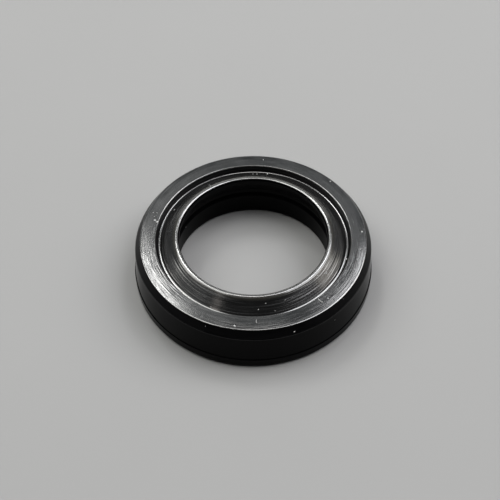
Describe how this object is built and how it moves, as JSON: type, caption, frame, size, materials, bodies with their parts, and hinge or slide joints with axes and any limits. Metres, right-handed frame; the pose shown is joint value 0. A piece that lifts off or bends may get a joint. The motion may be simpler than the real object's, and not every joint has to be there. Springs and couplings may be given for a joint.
{
  "type": "hydraulic rod seal",
  "caption": "Round black rubber rod seal: a raised inner sealing lip with a vee behind it, a slightly crowned front face with a bevelled rim, and a flat heel.",
  "frame": {"origin": "centre of the ring on the plane of its heel face, which is what it lies on", "axes": "+Z along the ring's axis, from the heel towards the lip"},
  "size_m": [0.0344, 0.0344, 0.0077],
  "materials": {
    "black_rubber": "glossy moulded rubber with fine turning marks on the face and the lip"
  },
  "bodies": {
    "root": {"seal_ring": "black_rubber"}
  },
  "joints": []
}
